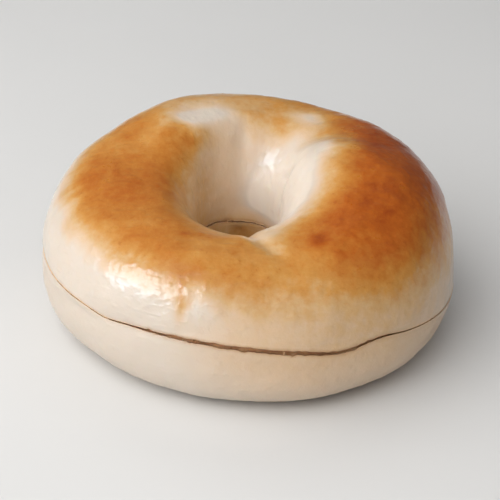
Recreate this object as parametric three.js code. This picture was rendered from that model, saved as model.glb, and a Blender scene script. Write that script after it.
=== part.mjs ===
// A plain bagel, sliced right through and closed again: a bottom half and a top half.
// Millimetres, +Z up, standing on its flat base, with the origin under the middle of its outline.
// Angles are in degrees in plan: 0 is +X, 90 is the back (+Y) and -90 the front.
import * as THREE from "three";

// Driving dimensions
const meanRadius = 52; // of the outer wall
const crestHeight = 43.6; // mean height of the ring's top
const holeCentre = { x: -3, y: 5.4 };
const holeHalfWidth = 10.2; // at the neck, along X
const holeHalfDepth = 12.9; // at the neck, along Y
const cutHeight = 18.34; // of the slice under the origin
const cutRise = { x: -0.0805, y: -0.0465 }; // how much the slice climbs for each mm
const closedGap = 0.35; // between the halves where they lie on each other
const frontGap = 1.35; // where the slice stands open at the front

// The uneven hand-rolled form: each swell is a share of its size, with its number of lobes round the ring
const outlineSwells = [
  { lobes: 1, amount: 0.017, peak: 91 },
  { lobes: 2, amount: 0.035, peak: -16 },
  { lobes: 3, amount: 0.012, peak: -43 },
  { lobes: 4, amount: 0.013, peak: 4 },
];
const crestSwells = [
  { lobes: 1, amount: 0.086, peak: 71 },
  { lobes: 2, amount: 0.036, peak: -18 },
  { lobes: 3, amount: 0.033, peak: -3 },
];

// The ring's section. A share of 0 is the hole's neck and 1 the outer wall; a level of 1 is the crest.
const crestShare = 0.439;
const crestShareSwells = [
  { lobes: 1, amount: 0.03, peak: -3 },
  { lobes: 2, amount: 0.061, peak: 72 },
  { lobes: 3, amount: 0.028, peak: 46 },
  { lobes: 4, amount: 0.036, peak: -29 },
];
const waistLevel = 0.368; // the widest place of the outer wall
const waistSwells = [{ lobes: 1, amount: 0.061, peak: 176 }];
const neckLevel = 0.408; // the narrowest place of the hole
const baseOuterShare = 0.61;
const baseInnerShare = 0.15;

// Roundness of the section's quarters and of the neck in plan: 2 is an ellipse and more is squarer
const shoulderRoundness = 2.68;
const footRoundness = 2.5;
const funnelRoundness = 2.37; // of the hole's wall above the neck, squarest at the back
const funnelSwells = [
  { lobes: 1, amount: 0.49, peak: 101 },
  { lobes: 2, amount: 0.086, peak: -38 },
];
const holeRoundness = 2.6;

// Height waves of the slice along the outer wall, where the knife wandered
const knifeWaves = [
  { lobes: 2, amount: 0.43, peak: -81 },
  { lobes: 3, amount: 0.56, peak: 44 },
  { lobes: 5, amount: 0.48, peak: 32 },
];
const knifeJogs = [ // short rises and dips, with their half width in degrees
  { angle: -136, halfAngle: 6, rise: -0.7 },
  { angle: -117, halfAngle: 20, rise: -0.6 },
  { angle: -66, halfAngle: 8, rise: -0.9 },
  { angle: -51, halfAngle: 7, rise: 0.9 },
  { angle: -25, halfAngle: 12, rise: -0.5 },
];
const opening = { angle: -72, halfAngle: 62, depth: 20 }; // the wedge that stands open at the front
const lip = { inset: 0.7, height: 1.4 }; // the crust rolls in a little at the slice

// Seams of the rolled rope and a pleat in the hole's back wall: grooves that run outward from the neck
const seams = [
  { angle: 17, bend: -30, depth: 1.4, halfWidth: 2.6, reach: 0.4 },
  { angle: -95, bend: 29, depth: 1.2, halfWidth: 2.6, reach: 0.8 },
  { angle: 90, bend: -12, depth: 0.9, halfWidth: 2.4, reach: 0.34 },
];
const dents = [ // a depth below 0 is a mound
  { x: -13.5, y: 26.5, radius: 8, depth: 0.9 },
  { x: 16, y: 27, radius: 6.5, depth: 0.8 },
  { x: 18, y: -30, radius: 5, depth: -0.5 },
  { x: -13.5, y: 16.5, radius: 6.5, depth: -1.3 },
];
const lumps = [
  { lobes: 5, amount: 0.25, peak: 20, rows: 2 },
  { lobes: 8, amount: 0.12, peak: -12, rows: 3 },
  { lobes: 11, amount: 0.08, peak: 7, rows: 5 },
];

// Fineness of the faceted surface
const columns = 90; // round the ring
const traceSteps = 64; // for each quarter of the section, before it is spaced out evenly
const rows = { base: 3, foot: 8, shoulder: 16, funnel: 9, holeFoot: 4, slice: 6 };

const crustMaterial = new THREE.MeshStandardMaterial({ color: 0xc8863c, roughness: 0.4, metalness: 0 });
const paleMaterial = new THREE.MeshStandardMaterial({ color: 0xe3cdb0, roughness: 0.55, metalness: 0 });

const radians = THREE.MathUtils.degToRad;
const { clamp, lerp, smoothstep } = THREE.MathUtils;

function swell(angle, terms) {
  return terms.reduce((sum, term) => sum + term.amount * Math.cos(term.lobes * (angle - radians(term.peak))), 0);
}

// The neck and the outer wall in plan at one angle
function wallsAt(angle) {
  const reach = meanRadius * (1 + swell(angle, outlineSwells));
  const across = Math.pow(Math.abs(Math.cos(angle)) / holeHalfWidth, holeRoundness);
  const along = Math.pow(Math.abs(Math.sin(angle)) / holeHalfDepth, holeRoundness);
  const neckReach = Math.pow(across + along, -1 / holeRoundness);
  return {
    neck: new THREE.Vector2(
      holeCentre.x + neckReach * Math.cos(angle),
      holeCentre.y + neckReach * Math.sin(angle),
    ),
    wall: new THREE.Vector2(reach * Math.cos(angle), reach * Math.sin(angle)),
  };
}

// The outer face of the ring's section at one angle, from the base's outer edge over the crest
// to the base's inner edge, as points of share and height
function traceSection(angle) {
  const top = crestHeight * (1 + swell(angle, crestSwells));
  const crest = crestShare + swell(angle, crestShareSwells);
  const waist = top * (waistLevel + swell(angle, waistSwells));
  const neck = top * neckLevel;
  const funnel = Math.max(2, funnelRoundness + swell(angle, funnelSwells));
  const outer = [];
  const inner = [];
  const quarter = (list, roundness, place) => {
    for (let step = 0; step <= traceSteps; step++) {
      const turn = (step / traceSteps) * (Math.PI / 2);
      const rising = Math.pow(Math.sin(turn), 2 / roundness);
      const falling = Math.pow(Math.max(Math.cos(turn), 0), 2 / roundness);
      list.push(new THREE.Vector2(...place(rising, falling)));
    }
  };
  quarter(outer, footRoundness, (up, down) => [lerp(baseOuterShare, 1, up), waist * (1 - down)]);
  quarter(outer, shoulderRoundness, (up, down) => [lerp(crest, 1, down), lerp(waist, top, up)]);
  quarter(inner, funnel, (up, down) => [crest * (1 - up), lerp(neck, top, down)]);
  quarter(inner, 2, (up, down) => [baseInnerShare * (1 - down), neck * (1 - up)]);
  return { outer, inner };
}

// The signed difference between an angle and one in degrees
function turnFrom(angle, degrees) {
  return Math.atan2(Math.sin(angle - radians(degrees)), Math.cos(angle - radians(degrees)));
}

// The height of the slice at a plan position; what the knife wandered fades out towards the hole
function sliceHeight(angle, share, place) {
  let wander = swell(angle, knifeWaves);
  for (const jog of knifeJogs) {
    wander += jog.rise * Math.exp(-Math.pow(turnFrom(angle, jog.angle) / radians(jog.halfAngle), 2));
  }
  return cutHeight + cutRise.x * place.x + cutRise.y * place.y + clamp(share, 0, 1) * wander;
}

// How far the halves stand apart
function gapAt(angle, share, width) {
  const facing = 1 - smoothstep(Math.abs(turnFrom(angle, opening.angle)), 0, radians(opening.halfAngle));
  const outward = smoothstep(share * width, width - opening.depth, width);
  return closedGap + (frontGap - closedGap) * facing * outward;
}

// How far the skin stands out from the smooth form at one place
function relief(angle, share, place) {
  let out = 0;
  for (const seam of seams) {
    const turn = turnFrom(angle, seam.angle + seam.bend * share);
    const distance = turn * Math.hypot(place.x - holeCentre.x, place.y - holeCentre.y);
    const fade = 1 - smoothstep(share, seam.reach * 0.4, seam.reach);
    out -= seam.depth * fade * Math.exp(-Math.pow(distance / seam.halfWidth, 2));
  }
  for (const dent of dents) {
    const distance = Math.hypot(place.x - dent.x, place.y - dent.y);
    out -= dent.depth * smoothstep(share, 0, 0.1) * Math.exp(-Math.pow(distance / dent.radius, 2));
  }
  for (const lump of lumps) {
    const phase = lump.lobes * (angle - radians(lump.peak)) + lump.rows * share * Math.PI;
    out += lump.amount * smoothstep(share, 0, 0.4) * Math.cos(phase);
  }
  return out;
}

// Points spaced evenly along a line of points
function spaceOut(line, steps) {
  const lengths = [0];
  for (let index = 1; index < line.length; index++) {
    lengths.push(lengths[index - 1] + line[index].distanceTo(line[index - 1]));
  }
  const total = lengths[line.length - 1];
  const spaced = [];
  let index = 1;
  for (let step = 0; step <= steps; step++) {
    const target = (total * step) / steps;
    while (index < line.length - 1 && lengths[index] < target) {
      index++;
    }
    const part = (target - lengths[index - 1]) / (lengths[index] - lengths[index - 1]);
    spaced.push(line[index - 1].clone().lerp(line[index], clamp(part, 0, 1)));
  }
  return spaced;
}

// The whole section at one angle in real millimetres: x is the distance from the neck, y the height
function sectionAt(angle) {
  const { neck, wall } = wallsAt(angle);
  const { outer, inner } = traceSection(angle);
  const width = wall.distanceTo(neck);
  const placeAt = (share) => neck.clone().lerp(wall, share);
  const real = (point) => new THREE.Vector2(point.x * width, point.y);
  // Cuts a wall's line where it meets the slice, raised or lowered by half the gap
  const cutWall = (line, side) => {
    const above = line.map((point) => {
      const share = point.x;
      const level = sliceHeight(angle, share, placeAt(share)) + (side * gapAt(angle, share, width)) / 2;
      return point.y - level;
    });
    const index = above.findIndex((value, at) => at > 0 && value * above[at - 1] <= 0);
    const part = above[index - 1] / (above[index - 1] - above[index]);
    return { index, meeting: line[index - 1].clone().lerp(line[index], part) };
  };
  const outerBelow = cutWall(outer, -1);
  const outerAbove = cutWall(outer, 1);
  const innerBelow = cutWall(inner, -1);
  const innerAbove = cutWall(inner, 1);
  // The slice's own face, from one meeting with the skin to the other
  const face = (from, to, side) => {
    const line = [];
    for (let step = 1; step < rows.slice; step++) {
      const share = lerp(from.x, to.x, step / rows.slice);
      const height = sliceHeight(angle, share, placeAt(share)) + (side * gapAt(angle, share, width)) / 2;
      line.push({ share, height, skin: false });
    }
    return line;
  };
  // A stretch of skin, evenly spaced, pushed out by the relief and rolled in at the slice
  const skin = (line, steps) => {
    const even = spaceOut(line.map(real), steps);
    return even.map((point, at) => {
      const before = even[Math.max(at - 1, 0)];
      const after = even[Math.min(at + 1, even.length - 1)];
      const along = after.clone().sub(before).normalize();
      const share = point.x / width;
      const place = placeAt(share);
      const level = sliceHeight(angle, share, place);
      const fromSlice = Math.abs(point.y - level);
      const calm = smoothstep(point.y, 0, 6) * smoothstep(fromSlice, 0, 5);
      const rolled = lip.inset * (1 - smoothstep(fromSlice, 0, lip.height));
      const out = relief(angle, share, place) * calm - rolled;
      return { share: (point.x + along.y * out) / width, height: point.y - along.x * out, skin: true };
    });
  };
  const top = [
    ...skin([outerAbove.meeting, ...outer.slice(outerAbove.index)], rows.shoulder),
    ...skin([...inner.slice(0, innerAbove.index), innerAbove.meeting], rows.funnel).slice(1),
    ...face(innerAbove.meeting, outerAbove.meeting, 1),
  ];
  const base = [];
  for (let step = 1; step < rows.base; step++) {
    base.push({ share: lerp(baseInnerShare, baseOuterShare, step / rows.base), height: 0 });
  }
  const bottom = [
    ...skin([...outer.slice(0, outerBelow.index), outerBelow.meeting], rows.foot),
    ...face(outerBelow.meeting, innerBelow.meeting, -1),
    ...skin([innerBelow.meeting, ...inner.slice(innerBelow.index)], rows.holeFoot),
    ...base,
  ];
  const lay = (loop) => loop.map((point) => {
    const place = placeAt(point.share);
    return new THREE.Vector3(place.x, place.y, point.height);
  });
  return { top: lay(top), bottom: lay(bottom) };
}

// A closed ring from one loop of points for each angle
function ringGeometry(loops) {
  const size = loops[0].length;
  const positions = loops.flat().flatMap((point) => [point.x, point.y, point.z]);
  const faces = [];
  loops.forEach((loop, column) => {
    const next = (column + 1) % loops.length;
    loop.forEach((point, row) => {
      const after = (row + 1) % size;
      const here = column * size + row;
      const up = column * size + after;
      const right = next * size + row;
      const both = next * size + after;
      faces.push(here, right, both, here, both, up);
    });
  });
  const geometry = new THREE.BufferGeometry();
  geometry.setAttribute("position", new THREE.Float32BufferAttribute(positions, 3));
  geometry.setIndex(faces);
  geometry.computeVertexNormals();
  return geometry;
}

const sections = [];
for (let column = 0; column < columns; column++) {
  sections.push(sectionAt((column / columns) * Math.PI * 2));
}

const bottomHalf = new THREE.Mesh(ringGeometry(sections.map((section) => section.bottom)), paleMaterial);
bottomHalf.name = "bottom_half";
const topHalf = new THREE.Mesh(ringGeometry(sections.map((section) => section.top)), crustMaterial);
topHalf.name = "top_half";

const group = new THREE.Group();
group.add(bottomHalf, topHalf);

// The origin goes under the middle of the whole outline
const middle = new THREE.Box3().setFromObject(group).getCenter(new THREE.Vector3());
group.position.set(-middle.x, -middle.y, 0);

export default group;
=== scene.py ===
import math

import bpy
import numpy as np
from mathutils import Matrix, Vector


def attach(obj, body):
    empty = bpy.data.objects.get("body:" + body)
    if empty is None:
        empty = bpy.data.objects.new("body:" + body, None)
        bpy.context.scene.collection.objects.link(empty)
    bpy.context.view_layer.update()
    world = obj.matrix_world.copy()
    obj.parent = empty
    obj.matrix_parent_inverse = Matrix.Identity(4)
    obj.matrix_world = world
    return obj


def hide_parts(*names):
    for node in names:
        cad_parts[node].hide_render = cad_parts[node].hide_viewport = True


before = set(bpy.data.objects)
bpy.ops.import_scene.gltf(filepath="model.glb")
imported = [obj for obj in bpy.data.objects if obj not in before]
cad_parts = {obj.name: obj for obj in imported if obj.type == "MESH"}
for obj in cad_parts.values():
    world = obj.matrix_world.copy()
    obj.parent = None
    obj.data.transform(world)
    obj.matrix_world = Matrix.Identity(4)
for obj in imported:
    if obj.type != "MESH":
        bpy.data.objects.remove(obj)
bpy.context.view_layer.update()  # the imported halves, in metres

mm = 0.001

# The uneven ring, in millimetres, with plan angles in degrees: 0 is +X, 90 the back and -90 the front.
# A swell is (lobes round the ring, amount, angle of its peak).
form = {
    "meanRadius": 52.0,  # of the outer wall
    "outline": [(1, 0.017, 91), (2, 0.035, -16), (3, 0.012, -43), (4, 0.013, 4)],
    "crestHeight": 43.6,
    "crest": [(1, 0.086, 71), (2, 0.036, -18), (3, 0.033, -3)],
    "crestShare": 0.439,  # 0 is the hole's neck and 1 the outer wall
    "crestShareSwells": [(1, 0.03, -3), (2, 0.061, 72), (3, 0.028, 46), (4, 0.036, -29)],
    "waistLevel": 0.368,  # the wall's widest place, where 1 is the crest
    "waist": [(1, 0.061, 176)],
    "neckLevel": 0.408,  # the hole's narrowest place
    "baseOuterShare": 0.61,
    "baseInnerShare": 0.15,
    # roundness of the section's quarters: 2 is an ellipse and more is squarer
    "shoulderRoundness": 2.68,
    "footRoundness": 2.5,
    "holeFootRoundness": 2.0,
    "funnelRoundness": 2.37,  # of the hole's wall above the neck
    "funnelLeast": 2.0,  # however much the swells take off
    "funnel": [(1, 0.49, 101), (2, 0.086, -38)],
    "hole": {"x": -3.0, "y": 5.4, "halfWidth": 10.2, "halfDepth": 12.9, "roundness": 2.6},
    "shift": (0.463, -1.555),  # brings the middle of the outline over the shared origin
}

# Rows of the mesh along each stretch of a section, and columns round the ring
fineness = {
    "columns": 720,
    "shoulder": 150,
    "funnel": 76,
    "foot": 92,
    "holeFoot": 44,
    "slice": 44,
    "base": 36,
    "trace": 200,  # points of each quarter before it is spaced out
    "crowding": 1.3,  # more crowds the rows towards the slice
    "faceFromCrest": 30.0,  # distance from the crest that the slice's face counts as, for the browning
    "baseFromCrest": 60.0,
}

# The random values' seeds. The top half adds 1 to the first two, and the bottom half takes 1 off.
seeds = {
    "tear": 11,
    "nick": 16,
    "pore": 20,
    "roll": 31,
    "dimple": 32,
    "patch": 33,
    "crinkle": 34,
    "blister": 35,
    "warp": 51,
    "finger": 52,
}

lattice = {"size": 32, "octaveShift": 7.3, "gain": 1.6}  # that the random values are drawn on


def wave(angle, terms):
    total = np.zeros_like(angle)
    for lobes, amount, peak in terms:
        total = total + amount * np.cos(lobes * (angle - math.radians(peak)))
    return total


def smooth(value, low, high):  # 0 at low and 1 at high
    part = np.clip((value - low) / (high - low), 0.0, 1.0)
    return part * part * (3.0 - 2.0 * part)


def turnFrom(angle, degrees):  # signed difference, in radians
    away = angle - np.radians(degrees)
    return np.arctan2(np.sin(away), np.cos(away))


def spanOf(values, axis):  # from the neighbour before to the neighbour after
    return np.roll(values, -1, axis) - np.roll(values, 1, axis)


def softNoise(points, size, seed, octaves=1):
    # smooth random values between about -1 and 1, on a repeating lattice
    cells = lattice["size"]
    table = np.random.default_rng(seed).uniform(-1.0, 1.0, (cells, cells, cells))
    total = np.zeros(points.shape[:-1])
    amount, reach = 1.0, 0.0
    for octave in range(octaves):
        place = points / size * 2 ** octave + lattice["octaveShift"] * octave
        low = np.floor(place).astype(int)
        part = place - low
        part = part * part * part * (part * (part * 6.0 - 15.0) + 10.0)
        value = 0.0
        for corner in range(8):
            step = np.array([corner & 1, corner >> 1 & 1, corner >> 2 & 1])
            at = (low + step) % cells
            weight = np.prod(np.where(step, part, 1.0 - part), axis=-1)
            value = value + weight * table[at[..., 0], at[..., 1], at[..., 2]]
        total += value * amount
        reach += amount
        amount *= 0.5
    return total / reach * lattice["gain"]


def wallsAt(angle):  # the hole's neck and the outer wall, in plan
    hole = form["hole"]
    reach = form["meanRadius"] * (1.0 + wave(angle, form["outline"]))
    wall = np.stack([reach * np.cos(angle), reach * np.sin(angle)], -1)
    across = (np.abs(np.cos(angle)) / hole["halfWidth"]) ** hole["roundness"]
    along = (np.abs(np.sin(angle)) / hole["halfDepth"]) ** hole["roundness"]
    neckReach = (across + along) ** (-1.0 / hole["roundness"])
    neck = np.stack([hole["x"] + neckReach * np.cos(angle), hole["y"] + neckReach * np.sin(angle)], -1)
    return neck, wall


def placeAt(neck, wall, share):  # in plan, on the way from the neck to the wall
    return neck + (wall - neck) * share[..., None]


def traceSection(angle):
    # the smooth outer face of the ring at one angle, as shares and heights
    turn = np.linspace(0.0, math.pi / 2, fineness["trace"])
    top = form["crestHeight"] * (1.0 + wave(angle, form["crest"]))
    crest = form["crestShare"] + wave(angle, form["crestShareSwells"])
    waist = top * (form["waistLevel"] + wave(angle, form["waist"]))
    neck = top * form["neckLevel"]
    funnel = max(form["funnelLeast"], form["funnelRoundness"] + wave(angle, form["funnel"]))

    def quarter(roundness):
        return np.sin(turn) ** (2 / roundness), np.clip(np.cos(turn), 0, 1) ** (2 / roundness)

    up, down = quarter(form["footRoundness"])
    foot = [form["baseOuterShare"] + (1 - form["baseOuterShare"]) * up, waist * (1 - down)]
    up, down = quarter(form["shoulderRoundness"])
    shoulder = [crest + (1 - crest) * down, waist + (top - waist) * up]
    up, down = quarter(funnel)
    throat = [crest * (1 - up), neck + (top - neck) * down]
    up, down = quarter(form["holeFootRoundness"])
    holeFoot = [form["baseInnerShare"] * (1 - down), neck * (1 - up)]
    outer = np.concatenate([np.array(foot)[:, :-1], np.array(shoulder)], 1)
    inner = np.concatenate([np.array(throat)[:, :-1], np.array(holeFoot)], 1)
    return outer, inner


# The slice between the halves
slit = {
    "height": 18.34,  # under the origin
    "riseX": -0.0805,
    "riseY": -0.0465,
    "knifeWaves": [(2, 0.43, -81), (3, 0.56, 44), (5, 0.48, 32)],
    # short rises and dips, as angle, half width and rise
    "knifeJogs": [(-136, 6, -0.7), (-117, 20, -0.6), (-66, 8, -0.9), (-51, 7, 0.9), (-25, 12, -0.5)],
    "closedGap": 0.03,
    "frontGap": 0.9,
    "openingAngle": -88,
    "openingHalfAngle": 57,
    "openingDepth": 2.0,
    # how far the crust rolls in at the slice, and over what height
    "lipInset": 0.34,
    "closedInset": 0.10,
    "lipHeight": 0.8,
    "closedStretch": 1.8,  # the lip's height where the slice is closed, in times its height at the front
    "openedFrom": 2.0,  # a lip starts to open at this many closed gaps
    "openedFull": 0.8,  # and is open at this share of the front gap
    "holeLip": 0.45,  # how open the lip is in the far wall of the hole
    "holeLipAngle": 85,
    "holeLipSpread": (0.7, 1.5),  # radians to each side
    "holeLipShares": (0.3, 0.5),
    "faceHalfWidth": 20.0,
    # the torn crust edge
    "ragged": 0.3,
    "raggedClosed": 0.12,  # share of it that is left where the slice is closed
    "raggedFace": (0.6, 3.1),  # it fades over this distance from the skin
    "raggedSkin": (0.3, 2.2),  # and over this height on the skin
    "tearSize": 1.7,
    "tearRange": (-0.3, 1.0),
    "nickSize": 1.3,
    "nickLevel": 0.55,
    "nickHeight": 3.0,
    # the crumb's pores
    "poreDepth": 0.4,
    "poreSize": 1.7,
    "poreLevel": 0.1,
    "poreStart": (0.8, 3.0),
}


def sliceLevel(angle, share, place):
    plane = slit["height"] + slit["riseX"] * place[..., 0] + slit["riseY"] * place[..., 1]
    wander = wave(angle, slit["knifeWaves"])
    for centre, half, rise in slit["knifeJogs"]:
        wander = wander + rise * np.exp(-((turnFrom(angle, centre) / math.radians(half)) ** 2))
    return plane + np.clip(share, 0, 1) * wander


def gapAt(angle, share, width):
    sideways = np.abs(turnFrom(angle, slit["openingAngle"]))
    facing = 1 - smooth(sideways, 0, math.radians(slit["openingHalfAngle"]))
    outward = smooth(share * width, width - slit["openingDepth"], width)
    return slit["closedGap"] + (slit["frontGap"] - slit["closedGap"]) * facing * outward


def openedAt(angle, share, width):  # 1 where the lips stand open and 0 where the slice is closed
    gap = gapAt(angle, np.ones_like(share), width)
    opened = smooth(gap, slit["closedGap"] * slit["openedFrom"], slit["frontGap"] * slit["openedFull"])
    sideways = np.abs(turnFrom(angle, slit["holeLipAngle"]))
    farWall = (1 - smooth(share, *slit["holeLipShares"])) * (1 - smooth(sideways, *slit["holeLipSpread"]))
    return np.maximum(opened, farWall * slit["holeLip"])


def sampleSection(angle, neck, wall, width):
    # one section of each half, as rows of share, height and distance from the crest along the skin
    outer, inner = traceSection(angle)

    def levelAt(share, side):
        return sliceLevel(angle, share, placeAt(neck, wall, share)) + side * gapAt(angle, share, width) / 2

    def stretch(line, side, towardsEnd, rows):
        # the wall on one side of the slice
        step = np.hypot(np.diff(line[0] * width), np.diff(line[1]))
        length = np.concatenate([[0], np.cumsum(step)])
        above = line[1] - levelAt(line[0], side)
        crossing = np.nonzero(above[1:] * above[:-1] <= 0)[0][0]
        part = above[crossing] / (above[crossing] - above[crossing + 1])
        cut = length[crossing] + part * (length[crossing + 1] - length[crossing])
        spread = np.linspace(0, 1, rows + 1) ** fineness["crowding"]
        at = cut + (length[-1] - cut) * spread if towardsEnd else cut * (1 - spread[::-1])
        fromCrest = length[-1] - at if line is outer else -at
        return np.array([np.interp(at, length, line[0]), np.interp(at, length, line[1]), fromCrest])

    def face(start, end, side):
        share = np.linspace(start[0], end[0], fineness["slice"] + 1)[1:-1]
        return np.array([share, levelAt(share, side), share * 0 + fineness["faceFromCrest"]])

    shoulder = stretch(outer, 1, True, fineness["shoulder"])
    funnel = stretch(inner, 1, False, fineness["funnel"])
    foot = stretch(outer, -1, False, fineness["foot"])
    holeFoot = stretch(inner, -1, True, fineness["holeFoot"])
    across = np.linspace(form["baseInnerShare"], form["baseOuterShare"], fineness["base"] + 1)[1:-1]
    base = [across, across * 0, across * 0 + fineness["baseFromCrest"]]
    topParts = [shoulder, funnel[:, 1:], face(funnel[:, -1], shoulder[:, 0], 1)]
    bottomParts = [foot, face(foot[:, -1], holeFoot[:, 0], -1), holeFoot, base]
    return np.concatenate(topParts, 1), np.concatenate(bottomParts, 1)


def sampleHalves():
    # both halves as loops of rows, one loop for each column round the ring
    angles = np.arange(fineness["columns"]) / fineness["columns"] * 2 * math.pi
    neck, wall = wallsAt(angles)
    widths = np.linalg.norm(wall - neck, axis=-1)
    sections = [sampleSection(*column) for column in zip(angles, neck, wall, widths)]
    topFace = fineness["shoulder"] + 1 + fineness["funnel"]
    bottomFace = fineness["foot"] + 1
    faceRows = {
        "top": slice(topFace, topFace + fineness["slice"] - 1),
        "bottom": slice(bottomFace, bottomFace + fineness["slice"] - 1),
    }
    loops = {name: np.array([section[index] for section in sections]) for index, name in enumerate(faceRows)}
    return loops, faceRows, {"angles": angles, "neck": neck, "wall": wall, "widths": widths}


# Relief of the skin: seams of the rolled rope, dents and lumps, and then the fine crust
skin = {
    "seams": [
        {"angle": 27, "bend": -45, "depth": 1.4, "halfWidth": 1.8, "reach": 0.12},
        {"angle": -95, "bend": 29, "depth": 1.2, "halfWidth": 2.6, "reach": 0.8},
        {"angle": 90, "bend": -12, "depth": 0.9, "halfWidth": 2.4, "reach": 0.34},
    ],
    "seamFull": 0.4,  # share of its reach before a seam starts to fade
    "dents": [  # a depth below 0 is a mound
        {"x": -13.5, "y": 26.5, "radius": 8, "depth": 0.9},
        {"x": 16, "y": 27, "radius": 6.5, "depth": 0.1},
        {"x": 18, "y": -30, "radius": 5, "depth": -0.5},
        {"x": -13.5, "y": 16.5, "radius": 6.5, "depth": -1.3},
    ],
    "dentStart": 0.1,  # share at which a dent is at its full depth
    "lumps": [(5, 0.25, 20, 2), (8, 0.12, -12, 3), (11, 0.08, 7, 5)],  # lobes, amount, peak, rows
    "lumpStart": 0.4,
    "calmBase": 6,  # the broad relief fades out over this height at the base
    "calmSlice": 5,  # and over this one at the slice
    "rollSize": 15.0,
    "roll": 0.2,
    "dimpleSize": 5.0,
    "dimple": 0.11,
    "crinkleSize": 2.3,
    "crinkle": 0.045,
    "crinkleLeast": 0.25,  # share of it between the crinkled patches
    "patchSize": 11.0,
    "patchRange": (-0.35, 0.5),
    # where it shrank into wrinkles: angle, distance from the crest, half width, half length, extra height
    "wrinkles": [
        (-128, 20, 15, 7, 0.08),
        (55, -20, 7, 7, 0.12),
        (152, 3, 9, 6, 0.05),
        (5, 12, 20, 10, 0.05),
    ],
    "blisterSize": 1.5,
    "blister": 0.06,
    "blisterRange": (0.45, 0.95),
    "fineBase": 4.0,  # and the fine crust over these
    "fineSlice": (0.2, 2.5),
}


def broadRelief(angle, share, place):
    hole = form["hole"]
    fromHole = np.hypot(place[..., 0] - hole["x"], place[..., 1] - hole["y"])
    out = np.zeros_like(share)
    for seam in skin["seams"]:
        distance = turnFrom(angle, seam["angle"] + seam["bend"] * share) * fromHole
        fade = 1 - smooth(share, seam["reach"] * skin["seamFull"], seam["reach"])
        out -= seam["depth"] * fade * np.exp(-((distance / seam["halfWidth"]) ** 2))
    for dent in skin["dents"]:
        distance = np.hypot(place[..., 0] - dent["x"], place[..., 1] - dent["y"])
        started = smooth(share, 0, skin["dentStart"])
        out -= dent["depth"] * started * np.exp(-((distance / dent["radius"]) ** 2))
    for lobes, amount, peak, rows in skin["lumps"]:
        phase = lobes * (angle - math.radians(peak)) + rows * share * math.pi
        out += amount * smooth(share, 0, skin["lumpStart"]) * np.cos(phase)
    return out


def wrinklesAt(angle, along, points):
    fromAxis = np.hypot(points[..., 0], points[..., 1])
    extra = np.zeros_like(along)
    for centre, distance, halfWidth, halfLength, height in skin["wrinkles"]:
        across = turnFrom(angle, centre) * fromAxis / halfWidth
        extra += height * np.exp(-across ** 2 - ((along - distance) / halfLength) ** 2)
    return extra


def fineCrust(angle, along, points):
    roll = softNoise(points, skin["rollSize"], seeds["roll"], 2) * skin["roll"]
    dimple = softNoise(points, skin["dimpleSize"], seeds["dimple"], 2) * skin["dimple"]
    patch = smooth(softNoise(points, skin["patchSize"], seeds["patch"]), *skin["patchRange"])
    ridge = 1 - np.abs(softNoise(points, skin["crinkleSize"], seeds["crinkle"], 2))
    patchy = skin["crinkleLeast"] + (1 - skin["crinkleLeast"]) * patch
    crinkle = (ridge ** 2 - 0.5) * (skin["crinkle"] * patchy + wrinklesAt(angle, along, points))
    spots = smooth(softNoise(points, skin["blisterSize"], seeds["blister"]), *skin["blisterRange"])
    return roll + dimple + crinkle + spots * skin["blister"]


def tearSlice(points, side, isFace, fromSkin, fromSlice, opened):
    # lifts torn crust along the slit and sinks pores into the crumb
    onFace = 1 - smooth(fromSkin, *slit["raggedFace"])
    onSkin = 1 - smooth(fromSlice, *slit["raggedSkin"])
    tear = softNoise(points, slit["tearSize"], seeds["tear"] + side, 3)
    nick = np.clip(softNoise(points, slit["nickSize"], seeds["nick"] + side, 2) - slit["nickLevel"], 0, 1)
    uneven = np.clip(tear, *slit["tearRange"]) + slit["nickHeight"] * nick
    share = slit["raggedClosed"] + (1 - slit["raggedClosed"]) * opened
    points[..., 2] += side * (slit["ragged"] * share * uneven) * np.where(isFace, onFace, onSkin)
    pore = np.clip(softNoise(points, slit["poreSize"], seeds["pore"], 2) - slit["poreLevel"], 0, 1)
    depth = slit["poreDepth"] * pore * smooth(fromSkin, *slit["poreStart"])
    points[..., 2] += side * np.where(isFace, depth, 0)


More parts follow.
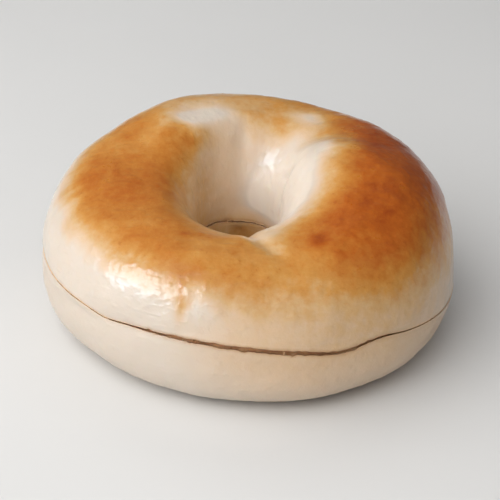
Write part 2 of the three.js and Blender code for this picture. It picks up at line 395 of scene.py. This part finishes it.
# Where the oven browned it, by angle and by millimetres along the skin from the crest: outward is above 0
# and down into the hole below 0. Toast runs from 0, pale dough, to 1, the darkest crust.
# A few entries below also paint light and shade into the toast, as marked.
browning = {
    # angle, toast on the crest, outer edge and its softness, inner edge and its softness
    "rings": [
        (-180, 0.76, 19.5, 9, -11, 7),
        (-165, 0.73, 20, 8, -10, 7),
        (-150, 0.67, 20, 9, -9.5, 7),
        (-130, 0.64, 18, 7, -9, 7),
        (-112, 0.60, 17, 6, -10, 7),
        (-98, 0.60, 17.5, 7, -8, 7),
        (-85, 0.52, 20, 8, -6, 7),
        (-70, 0.47, 22, 8, -5, 7),
        (-60, 0.72, 22.5, 8, -5, 8),
        (-45, 0.83, 24, 10, -4.5, 9),
        (-30, 0.90, 27, 12, -4.5, 9),
        (-12, 0.87, 32, 15, -3, 10),
        (0, 0.90, 36, 14, -1, 9),
        (12, 0.94, 35, 13, 0, 8),
        (24, 0.88, 29, 11, -4, 9),
        (38, 0.80, 20, 8, -7, 9),
        (50, 0.60, 18, 8, -8, 8),
        (65, 0.50, 17, 8, -12, 5),
        (85, 0.42, 16, 8, -10, 5),
        (105, 0.36, 15, 8, 3, 5),
        (122, 0.45, 15, 8, 4, 5),
        (138, 0.56, 14, 8, -11, 5),
        (160, 0.64, 15, 9, -12, 6),
    ],
    "ease": 6,  # degrees over which one ring's values pass into the next
    # the faint tan beyond the browned part, by angle
    "outerTan": [(-130, 0.0), (-110, 0.08), (-90, 0.18), (-60, 0.27), (-30, 0.34), (10, 0.30), (60, 0.12)],
    "outerTanEnd": (30, 52),
    "outerTanFade": 0.6,
    # least toast in the hole, by angle: partly the crust's own tan, partly painted warm bounce light on the
    # hole's walls
    "innerTanAndBounce": [
        (-160, 0.36), (-130, 0.36), (-95, 0.30), (-75, 0.12), (-45, 0.0),
        (60, 0.0), (85, 0.10), (120, 0.20), (150, 0.32),
    ],
    "tanMeets": (-5, 6),
    # angle, distance from the crest, half width, half length, change of toast
    "patches": [
        (-61, 6.5, 3.0, 2.8, 0.23),
        (-118, 0.5, 2.6, 2.0, 0.12),
        (-80, -3, 3.0, 3.5, -0.22),
        (-77, 4, 2.5, 4.0, -0.12),
        (-86, -3, 2.0, 3.0, -0.08),
        (-111, 21, 1.1, 3.6, 0.25),
        (-104, 19, 3.5, 4.0, -0.15),
        (55, -3.5, 7.0, 3.2, -0.40),
        (63, -11, 3.5, 3.0, 0.10),
        (115, -3, 7.0, 4.0, -0.24),
        (128, -1, 4.0, 3.5, -0.30),
        (133, -10, 6.0, 3.0, 0.22),
        (143, -1, 5.0, 2.6, -0.20),
        # paler low on the hole's lobe: partly pale dough, partly painted light
        (62, -31, 7.0, 6.0, -0.16),
        (64, -16, 8.0, 4.5, 0.09),
        # browner deep in the hole's far wall: partly browner crust, partly painted shade
        (80, -41, 16.0, 6.0, 0.32),
        # paler on the front-left rim of the hole: partly paler crust, partly a painted sheen
        (-112, -2, 6.0, 4.0, -0.06),
        (-27, 1, 9.0, 4.0, -0.07),
        (-108, -3, 5.0, 3.5, 0.09),
        (52, -0.5, 5.0, 3.5, -0.14),
    ],
    "warp": 1.5,  # how far the edges wander
    "warpSize": 7.0,
    "patchWarp": (0.4, 0.5),  # how much of that the patches get, across and lengthways
    # streaks that reach down the wall from the browned part
    "finger": 1.0,
    "fingerWidth": 3.0,
    "fingerStretch": 4.5,
    "fingerRadius": 50.0,
    "fingerStart": (4, 12),
    "leastToastOutside": 0.05,  # least toast outside the deep hole; deeper down it falls to raw dough, partly its own paler tone and partly painted light on the hole's walls
    "leastToastEnd": (-14, -6),
    "mostToast": 1.05,
}


def byAngle(angle, rows, column=1):
    # a value from a list by angle, eased from one entry to the next
    turns = [row[0] for row in rows]
    values = [row[column] for row in rows]
    degrees = np.degrees(angle)
    steps = (-browning["ease"], 0, browning["ease"])
    return sum(np.interp(degrees + step, turns, values, period=360) for step in steps) / len(steps)


def toastAt(angle, along, points):
    # how brown the skin is at each point, with the painted light and shade of the table above
    radius = browning["fingerRadius"]
    streak = [np.cos(angle) * radius, np.sin(angle) * radius, along / browning["fingerStretch"]]
    warp = softNoise(points, browning["warpSize"], seeds["warp"], 3) * browning["warp"]
    finger = softNoise(np.stack(streak, -1), browning["fingerWidth"], seeds["finger"], 2) * browning["finger"]
    columns = [byAngle(angle, browning["rings"], column) for column in range(1, 6)]
    core, outer, outerSoft, inner, innerSoft = columns
    fromOuter = along + warp + finger * smooth(along, *browning["fingerStart"])
    outward = 1 - smooth(fromOuter, outer - outerSoft, outer + outerSoft)
    inward = smooth(along + warp, inner - innerSoft, inner + innerSoft)
    fading = 1 - browning["outerTanFade"] * smooth(along, *browning["outerTanEnd"])
    outerTan = byAngle(angle, browning["outerTan"]) * fading
    # in the hole this is partly painted warm bounce light
    innerTanAndBounce = byAngle(angle, browning["innerTanAndBounce"])
    tan = innerTanAndBounce + (outerTan - innerTanAndBounce) * smooth(along, *browning["tanMeets"])
    toast = core * outward * inward + tan * (1 - outward * inward)
    fromAxis = np.hypot(points[..., 0], points[..., 1])
    warpAcross, warpLengthways = browning["patchWarp"]
    for centre, distance, halfWidth, halfLength, change in browning["patches"]:
        across = turnFrom(angle, centre) * fromAxis + warp * warpAcross
        lengthways = along + warp * warpLengthways - distance
        toast = toast + change * np.exp(-((across / halfWidth) ** 2) - (lengthways / halfLength) ** 2)
    # painted light: only deep in the hole may the skin fall to the paler raw dough
    leastToastOutside = browning["leastToastOutside"] * smooth(along, *browning["leastToastEnd"])
    return np.clip(np.maximum(toast, leastToastOutside), 0, browning["mostToast"])


# Where the crumb, the painted shade along the slit's lips and the glaze show, in millimetres from the slice
cover = {
    "crumb": (0.1, 0.45),
    "lip": (0.3, 1.5),
    "closedLipShade": 0.2,  # share of the painted shade on the lips where the slice is closed
    "glaze": (-6, 5),
    "holeDull": 0.45,  # how much less the hole shines
    "holeDullFrom": (10, 16),  # distance from the crest
}


def normalsOf(points):
    normal = np.cross(spanOf(points, 0), spanOf(points, 1))
    return normal / np.maximum(np.linalg.norm(normal, axis=-1, keepdims=True), 1e-9)


def shapeHalf(name, loop, faceRows, grid):
    # places one half's grid of points and the values that its material reads
    share, height, along = loop[:, 0], loop[:, 1], loop[:, 2]
    angle = np.repeat(grid["angles"][:, None], share.shape[1], 1)
    neck, wall, width = grid["neck"][:, None], grid["wall"][:, None], grid["widths"][:, None]
    side = 1 if name == "top" else -1
    isFace = np.zeros(share.shape, bool)
    isFace[:, faceRows[name]] = True
    place = placeAt(neck, wall, share)
    level = sliceLevel(angle, share, place)
    fromSlice = np.abs(height - level)
    opened = openedAt(angle, share, width)

    # the broad form and the rolled lip move the skin within its own section
    ahead = np.stack([spanOf(share, 1), spanOf(height, 1)])
    ahead[0] *= width
    ahead /= np.maximum(np.hypot(*ahead), 1e-9)
    calm = smooth(height, 0, skin["calmBase"]) * smooth(fromSlice, 0, skin["calmSlice"])
    inset = slit["closedInset"] + (slit["lipInset"] - slit["closedInset"]) * opened
    lipStretch = slit["closedStretch"] - (slit["closedStretch"] - 1) * opened
    rolled = inset * (1 - smooth(fromSlice, 0, slit["lipHeight"] * lipStretch))
    out = np.where(isFace, 0, broadRelief(angle, share, place) * calm - rolled)
    movedShare = share + ahead[1] * out / width
    movedHeight = height - ahead[0] * out
    # the slice's face ends where the rolled lip does
    middle = (share[:, faceRows[name]].max(1) + share[:, faceRows[name]].min(1))[:, None] / 2
    reachIn = np.clip(np.abs(share - middle) * width / slit["faceHalfWidth"], 0, 1)
    movedShare = movedShare - np.where(isFace, np.sign(share - middle) * inset * reachIn / width, 0)
    points = np.concatenate([placeAt(neck, wall, movedShare), movedHeight[..., None]], -1)

    fromSkin = np.minimum(np.abs(1 - share) * width, np.abs(share) * width)
    tearSlice(points, side, isFace, fromSkin, fromSlice, opened)
    # the fine crust stands out along the true normals
    normal = normalsOf(points)
    fine = fineCrust(angle, along, points) * smooth(height, 0.0, skin["fineBase"])
    fine = fine * smooth(fromSlice, *skin["fineSlice"])
    points += normal * np.where(isFace, 0, fine)[..., None]
    points[..., 2] = np.maximum(points[..., 2], 0)
    points[..., 2][height < 1e-6] = 0

    # the painted shade on the lips is strongest where the slit stands open
    lipShadeShows = cover["closedLipShade"] + (1 - cover["closedLipShade"]) * opened
    dull = 1 - cover["holeDull"] * smooth(-along, *cover["holeDullFrom"])
    values = {
        "toast": toastAt(angle, along, points),
        "crumb": np.where(isFace, 1.0, 1 - smooth(fromSlice, *cover["crumb"])),
        "lip": (1 - smooth(fromSlice, *cover["lip"])) * lipShadeShows,
        "glaze": np.where(isFace, 0, smooth(height - level, *cover["glaze"]) * dull),
    }
    return points, values


def makeMesh(name, points, values):
    columns, rows = points.shape[:2]
    count = columns * rows
    column = np.arange(columns)[:, None]
    row = np.arange(rows)[None, :]
    nextColumn = (column + 1) % columns * rows
    nextRow = (row + 1) % rows
    column = column * rows
    quads = np.stack([column + row, nextColumn + row, nextColumn + nextRow, column + nextRow], -1)
    mesh = bpy.data.meshes.new(name)
    mesh.vertices.add(count)
    mesh.vertices.foreach_set("co", (points * mm).astype(np.float32).ravel())
    mesh.loops.add(count * 4)
    mesh.loops.foreach_set("vertex_index", quads.reshape(-1).astype(np.int32))
    mesh.polygons.add(count)
    mesh.polygons.foreach_set("loop_start", np.arange(count, dtype=np.int32) * 4)
    mesh.update(calc_edges=True)
    mesh.polygons.foreach_set("use_smooth", np.ones(count, bool))
    for key, value in values.items():
        layer = mesh.attributes.new(key, "FLOAT", "POINT")
        layer.data.foreach_set("value", value.astype(np.float32).ravel())
    mesh.validate()
    piece = bpy.data.objects.new(name, mesh)
    bpy.context.scene.collection.objects.link(piece)
    return piece


class Wire:  # an output socket that can stand in a sum
    def __init__(self, graph, socket):
        self.graph = graph
        self.socket = socket

    def run(self, operation, *values):
        return self.graph.add("ShaderNodeMath", {"operation": operation}, dict(enumerate(values)))

    def __add__(self, other):
        return self.run("ADD", self, other)

    __radd__ = __add__

    def __sub__(self, other):
        return self.run("SUBTRACT", self, other)

    def __rsub__(self, other):
        return self.run("SUBTRACT", other, self)

    def __mul__(self, other):
        return self.run("MULTIPLY", self, other)

    __rmul__ = __mul__


class Graph:  # one material's nodes
    def __init__(self, name):
        self.material = bpy.data.materials.new(name)
        self.material.use_nodes = True
        self.tree = self.material.node_tree
        self.tree.nodes.clear()

    def add(self, kind, settings=None, inputs=None, output=0):
        node = self.tree.nodes.new(kind)
        for key, value in (settings or {}).items():
            if key == "stops":
                ramp = node.color_ramp
                while len(ramp.elements) < len(value):
                    ramp.elements.new(1.0)
                for element, (position, colour) in zip(ramp.elements, value):
                    element.position = position
                    element.color = (*colour, 1.0)
            else:
                setattr(node, key, value)
        for key, value in (inputs or {}).items():
            if isinstance(value, Wire):
                self.tree.links.new(value.socket, node.inputs[key])
            else:
                node.inputs[key].default_value = value
        return Wire(self, node.outputs[output]) if len(node.outputs) else node

    def place(self):  # where a point lies on its piece
        return self.add("ShaderNodeTexCoord", {}, {}, 3)

    def value(self, name):  # one of the mesh's own values
        return self.add("ShaderNodeAttribute", {"attribute_name": name}, {}, 2)

    def noise(self, place, size, detail=2.0, roughness=0.5):
        values = {"Vector": place, "Scale": 1.0 / (size * mm), "Detail": detail, "Roughness": roughness}
        return self.add("ShaderNodeTexNoise", {}, values)

    def between(self, value, low, high):  # 0 at low and 1 at high
        settings = {"interpolation_type": "SMOOTHSTEP"}
        return self.add("ShaderNodeMapRange", settings, {"Value": value, "From Min": low, "From Max": high})

    def blend(self, factor, first, second):
        settings = {"data_type": "RGBA"}
        first = first if isinstance(first, Wire) else (*first, 1.0)
        second = second if isinstance(second, Wire) else (*second, 1.0)
        return self.add("ShaderNodeMix", settings, {0: factor, 6: first, 7: second}, 2)


# Colours are linear
crustLook = {
    "stages": [  # of baking, by toast
        # raw dough, paler than the outer crust: partly its own tone, partly painted light on the hole's walls
        (0.0, (0.78, 0.69, 0.585)),
        # the outer pale crust, a little darker: partly its own tone, partly painted shade against the light
        # off the floor
        (0.05, (0.67, 0.57, 0.47)),
        (0.15, (0.68, 0.50, 0.34)),
        (0.32, (0.62, 0.38, 0.17)),
        (0.48, (0.57, 0.27, 0.065)),
        (0.64, (0.50, 0.185, 0.03)),
        (0.82, (0.41, 0.10, 0.010)),
        (1.0, (0.28, 0.05, 0.005)),
    ],
    "noises": {
        "broad": {"size": 14.0, "detail": 3.0, "roughness": 0.55},
        "cloud": {"size": 5.0, "detail": 4.0, "roughness": 0.6},
        "speck": {"size": 1.6, "detail": 3.0, "roughness": 0.6},
        "grain": {"size": 0.6, "detail": 2.0, "roughness": 0.5},
    },
    # how much of each noise goes into the toast, the roughness and the bumps
    "mottling": {"broad": 0.30, "cloud": 0.36, "speck": 0.20},
    "mottledFrom": (0.05, 0.45),  # toast
    "unevenRoughness": {"cloud": 0.16},
    "unevenHeight": {"cloud": 0.5, "speck": 0.5, "grain": 0.25},
    "speckle": (0.30, 0.07, 0.012),
    "speckleCover": 0.3,
    "speckleRange": (0.62, 0.76),
    "speckleFrom": (0.25, 0.6),  # toast
    # painted shade: the dark brown along the slit's lips stands in for the shade in its narrow gap
    "lip": (0.50, 0.27, 0.12),
    "lipShadeCover": 0.7,
    "crumb": (0.84, 0.54, 0.30),
    "crumbPore": (0.48, 0.26, 0.11),
    "poreRange": (0.42, 0.30),
    "paleRoughness": 0.38,
    "brownRoughness": 0.30,
    "brownFrom": (0.1, 0.6),  # toast
    "crumbRoughness": 0.35,  # added to the crust's
    "bump": 0.45,
    "bumpDepth": 0.00035,  # metres
    "coat": 0.62,
    "coatPatches": 0.6,
    "coatRange": (0.05, 0.75),
    "coatIor": 1.38,
    "coatRoughness": 0.19,
    "ior": 1.45,
    "specular": 0.28,
    "scatter": 0.12,
    "scatterRadius": (1.0, 0.45, 0.2),
    "scatterScale": 0.0025,  # metres
}


def makeCrust(name):
    look = crustLook
    graph = Graph(name)
    place = graph.place()
    toast, crumb, lip, glaze = (graph.value(key) for key in ("toast", "crumb", "lip", "glaze"))
    noises = {key: graph.noise(place, **numbers) for key, numbers in look["noises"].items()}
    broad, speck = noises["broad"], noises["speck"]

    def uneven(amounts):  # a sum of noises, each taken from its middle
        return sum((noises[key] - 0.5) * amount for key, amount in amounts.items())

    mottled = toast + graph.between(toast, *look["mottledFrom"]) * uneven(look["mottling"])
    baked = graph.add("ShaderNodeValToRGB", {"stops": look["stages"]}, {"Fac": mottled})
    spots = graph.between(speck, *look["speckleRange"]) * graph.between(toast, *look["speckleFrom"])
    baked = graph.blend(spots * look["speckleCover"], baked, look["speckle"])
    # painted shade darkens the skin along the slit
    baked = graph.blend(lip * look["lipShadeCover"], baked, look["lip"])
    inside = graph.blend(graph.between(speck, *look["poreRange"]), look["crumb"], look["crumbPore"])
    browned = graph.between(toast, *look["brownFrom"])
    rough = look["paleRoughness"] + (look["brownRoughness"] - look["paleRoughness"]) * browned
    rough = rough + uneven(look["unevenRoughness"]) + crumb * look["crumbRoughness"]
    height = uneven(look["unevenHeight"])
    bumps = {"Strength": look["bump"], "Distance": look["bumpDepth"], "Height": height}
    shine = graph.between(glaze + (broad - 0.5) * look["coatPatches"], *look["coatRange"])
    shader = graph.add(
        "ShaderNodeBsdfPrincipled",
        {},
        {
            "Base Color": graph.blend(crumb, baked, inside),
            "Roughness": rough,
            "Normal": graph.add("ShaderNodeBump", {}, bumps),
            "IOR": look["ior"],
            "Coat Weight": shine * look["coat"],
            "Coat Roughness": look["coatRoughness"],
            "Coat IOR": look["coatIor"],
            "Specular IOR Level": look["specular"],
            "Subsurface Weight": look["scatter"],
            "Subsurface Radius": look["scatterRadius"],
            "Subsurface Scale": look["scatterScale"],
        },
    )
    graph.add("ShaderNodeOutputMaterial", {}, {"Surface": shader})
    return graph.material


# The halves take the place of the plain ones
loops, faceRows, grid = sampleHalves()
print("sampled", fineness["columns"], "sections of the ring")
crust = makeCrust("bakedCrust")
for name, node, slotName in (("bottom", "bottom_half", "pale_crust"), ("top", "top_half", "browned_crust")):
    points, values = shapeHalf(name, loops[name], faceRows, grid)
    piece = makeMesh("bagel_" + name, points + np.array([*form["shift"], 0.0]), values)
    piece.data.materials.append(crust)
    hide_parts(node)
    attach(piece, "root")
    print("made", piece.name, len(piece.data.polygons), "faces")

# The floor, pale and plain
floorLook = {
    "size": 12.0,  # metres
    "colour": (0.71, 0.70, 0.68),
    "cloudColour": (0.67, 0.66, 0.64),
    "cloudSize": 90.0,  # millimetres
    "roughness": 0.7,
}


def makeFloor():
    look = floorLook
    half = look["size"] / 2
    corners = [(-half, -half, 0), (half, -half, 0), (half, half, 0), (-half, half, 0)]
    mesh = bpy.data.meshes.new("floor")
    mesh.from_pydata(corners, [], [(0, 1, 2, 3)])
    graph = Graph("paleFloor")
    clouds = graph.noise(graph.place(), look["cloudSize"])
    tone = graph.blend(clouds, look["colour"], look["cloudColour"])
    shader = graph.add("ShaderNodeBsdfPrincipled", {}, {"Base Color": tone, "Roughness": look["roughness"]})
    graph.add("ShaderNodeOutputMaterial", {}, {"Surface": shader})
    mesh.materials.append(graph.material)
    floor = bpy.data.objects.new("floor", mesh)
    bpy.context.scene.collection.objects.link(floor)
    return floor


floor = makeFloor()

# One window shows in the gloss alone. The other lights are large and soft, and don't show in it.
# Lengths are in metres.
studio = {
    "sky": (0.86, 0.90, 1.0),
    "skyStrength": 0.09,
    "windowTint": (0.70, 0.84, 1.0),
    "lampTint": (1.0, 1.0, 1.0),
    "aim": (0.0, 0.0, 0.02),
    "lights": {
        # azimuth from the front (right positive), elevation, distance, size, watts, shown in the gloss
        "window": (-61, 26, 0.62, (0.46, 0.34), 6.2, True),
        "side": (-78, 24, 0.7, (0.6, 0.4), 0.65, False),
        "key": (-70, 52, 0.8, (1.0, 0.8), 3.5, False),
        "keyFront": (-45, 50, 0.8, (1.0, 0.8), 2.9, False),
        "fill": (-20, 38, 0.8, (0.9, 0.7), 2.4, False),
        "back": (178, 50, 0.9, (0.7, 0.4), 1.2, False),
        "right": (60, 54, 0.9, (0.8, 0.6), 0.8, False),
        "leftBack": (-130, 36, 0.9, (0.7, 0.5), 0.8, False),
    },
}


def lightSky():
    world = bpy.data.worlds.new("studio")
    world.use_nodes = True
    background = world.node_tree.nodes["Background"]
    background.inputs["Color"].default_value = (*studio["sky"], 1.0)
    background.inputs["Strength"].default_value = studio["skyStrength"]
    bpy.context.scene.world = world


def placeLamp(name, azimuth, elevation, distance, size, watts, inGloss):
    light = bpy.data.lights.new(name, "AREA")
    light.shape = "RECTANGLE"
    light.size, light.size_y = size
    light.energy = watts
    light.color = studio["windowTint"] if inGloss else studio["lampTint"]
    lamp = bpy.data.objects.new(name, light)
    lamp.visible_glossy = inGloss
    lamp.visible_diffuse = not inGloss
    bpy.context.scene.collection.objects.link(lamp)
    around, up = math.radians(azimuth), math.radians(elevation)
    away = Vector((math.sin(around) * math.cos(up), -math.cos(around) * math.cos(up), math.sin(up)))
    lamp.location = Vector(studio["aim"]) + away * distance
    lamp.rotation_euler = away.to_track_quat("Z", "Y").to_euler()


lightSky()
for name, settings in studio["lights"].items():
    placeLamp(name, *settings)
print("lit the floor with", len(studio["lights"]), "lights")

# The photograph's viewing angle, in degrees and millimetres
view = {
    "elevation": 31.0,
    "distance": 480.0,
    "lens": 130.7,
    "sensor": 36.0,
    "nearest": 0.01,  # metres
    "aimHeight": 20.0,
    "right": -0.05,
    "up": -0.24,
}


def placeCamera():
    camera = bpy.data.objects.new("camera", bpy.data.cameras.new("camera"))
    camera.data.sensor_width = view["sensor"]
    camera.data.lens = view["lens"]
    camera.data.clip_start = view["nearest"]
    tilt = math.radians(view["elevation"])
    back = Vector((0.0, -math.cos(tilt), math.sin(tilt)))
    screenUp = Vector((0.0, math.sin(tilt), math.cos(tilt)))
    aim = Vector((*form["shift"], view["aimHeight"]))
    aim = aim + Vector((view["right"], 0, 0)) + screenUp * view["up"]
    camera.location = (aim + back * view["distance"]) * mm
    camera.rotation_euler = back.to_track_quat("Z", "Y").to_euler()
    bpy.context.scene.collection.objects.link(camera)
    bpy.context.scene.camera = camera
    bpy.context.scene.view_settings.view_transform = "Standard"


placeCamera()
print("placed the camera")
